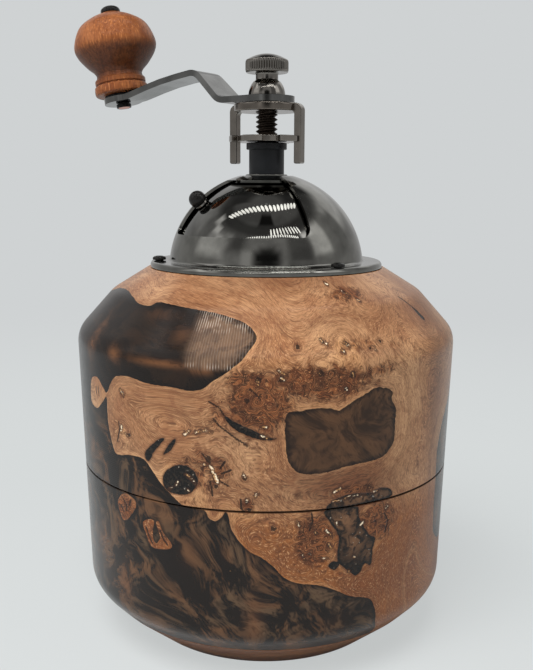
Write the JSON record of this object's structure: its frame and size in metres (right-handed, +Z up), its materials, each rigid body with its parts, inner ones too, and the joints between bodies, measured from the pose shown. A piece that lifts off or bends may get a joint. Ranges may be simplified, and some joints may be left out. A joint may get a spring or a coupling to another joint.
{
  "type": "manual coffee grinder",
  "caption": "Hand-cranked coffee grinder: turned two-part wood and resin body, domed hopper cover with a sliding door, bent crank arm with a wooden knob, conical burr inside.",
  "frame": {"origin": "centre of the foot's flat underside, on the table", "axes": "+Z up along the drive shaft, -Y towards the front with the hopper door, +X to the viewer's right"},
  "size_m": [0.1504, 0.143, 0.2401],
  "materials": {
    "burr_wood": "burr wood cast with dark brown pearl resin, turned and polished",
    "foot_wood": "plain turned wood, oiled",
    "cherry_wood": "reddish turned wood, semi-gloss lacquer",
    "black_nickel": "black nickel plate, mirror bright",
    "dark_nickel": "dark nickel plate, satin",
    "gunmetal": "gunmetal plate, satin",
    "black_steel": "black oxide",
    "burr_steel": "ground steel",
    "bronze": "sintered bronze",
    "black_plastic": "moulded, matte"
  },
  "bodies": {
    "cup": {"base_disc": "foot_wood", "lower_body": "burr_wood"},
    "mill": {"upper_body": "burr_wood", "dome_cover": "black_nickel", "dome_screw_1": "black_steel", "dome_screw_2": "black_steel", "dome_screw_3": "black_steel", "bearing_sleeve": "black_plastic", "sleeve_nut": "burr_steel", "outer_burr": "burr_steel", "burr_screw_1": "burr_steel", "burr_screw_2": "burr_steel", "burr_screw_3": "burr_steel", "burr_bridge": "burr_steel", "bridge_bush": "bronze"},
    "door": {"hopper_door": "black_nickel", "door_washer": "burr_steel", "door_knob": "black_steel"},
    "drive": {"shaft": "black_steel", "adjusting_disc": "dark_nickel", "lock_yoke": "dark_nickel", "crank_arm": "gunmetal", "finial_nut": "dark_nickel", "inner_burr": "burr_steel", "burr_spring": "burr_steel", "burr_washer": "burr_steel", "burr_nut": "burr_steel", "knob_spindle": "black_steel", "knob_washer": "black_plastic"},
    "knob": {"knob_grip": "cherry_wood"}
  },
  "joints": [
    {"name": "body_lift", "type": "slide", "parent": "cup", "child": "mill", "axis": [0, 0, 1], "range_m": [0, 0.04]},
    {"name": "crank_spin", "type": "hinge", "parent": "mill", "child": "drive", "pos_m": [0, 0, 0.19], "axis": [0, 0, 1], "continuous": true},
    {"name": "door_slide", "type": "hinge", "parent": "mill", "child": "door", "pos_m": [0, 0, 0.169], "axis": [0, 0, 1], "range_deg": [0, 90]},
    {"name": "knob_spin", "type": "hinge", "parent": "drive", "child": "knob", "pos_m": [-0.05936, 0.03709, 0.20209], "axis": [-0.137, 0.0856, 0.9869], "continuous": true}
  ]
}
